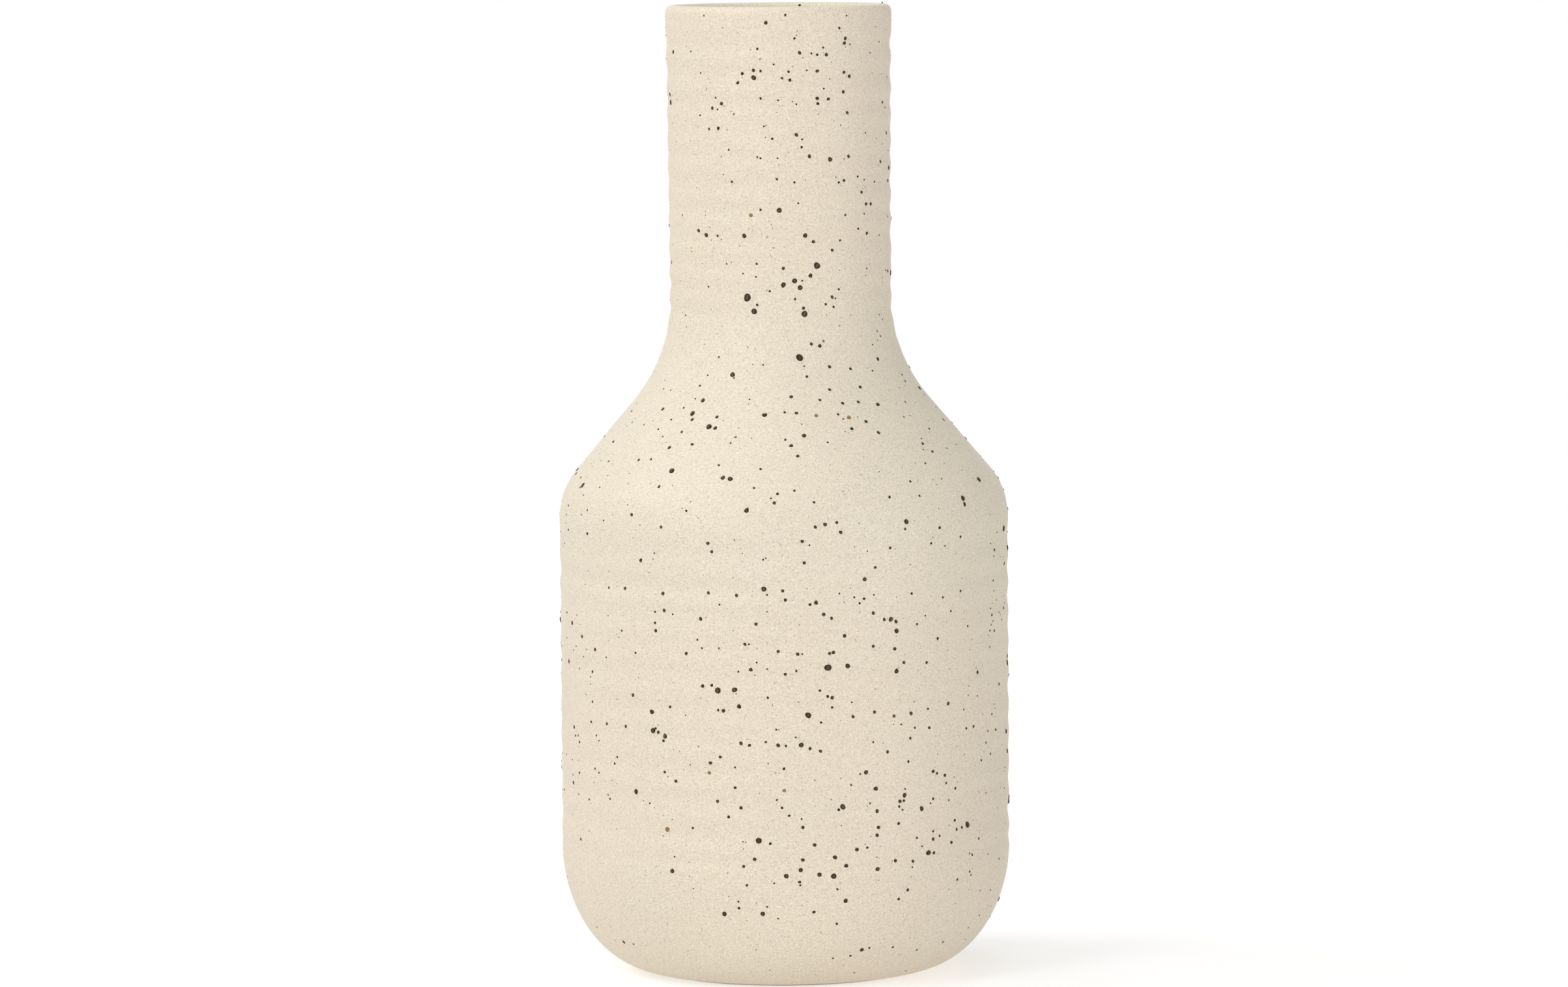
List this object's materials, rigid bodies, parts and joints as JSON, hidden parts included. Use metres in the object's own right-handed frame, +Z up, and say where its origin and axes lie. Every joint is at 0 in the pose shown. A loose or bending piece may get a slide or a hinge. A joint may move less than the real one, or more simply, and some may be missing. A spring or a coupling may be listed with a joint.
{
  "type": "bottle vase",
  "caption": "Tall round stoneware bottle vase with a ringed barrel, sloping shoulder, long straight neck and rounded lip under a speckled matt cream glaze, for holding flowers.",
  "frame": {"origin": "centre of the foot ring, on the surface that the vase stands on", "axes": "+Z up along the vase's axis, -Y towards the front"},
  "size_m": [0.1352, 0.1354, 0.29],
  "materials": {
    "stoneware": "bare fired stoneware",
    "speckled_glaze": "matt cream glaze with fine brown pepper",
    "liner_glaze": "satin cream liner glaze",
    "iron_speck": "glossy melted iron",
    "amber_speck": "glossy ochre"
  },
  "bodies": {
    "root": {"clay_body": "stoneware", "outer_glaze": "speckled_glaze", "inner_glaze": "liner_glaze", "iron_specks": "iron_speck", "amber_specks": "amber_speck"}
  },
  "joints": []
}
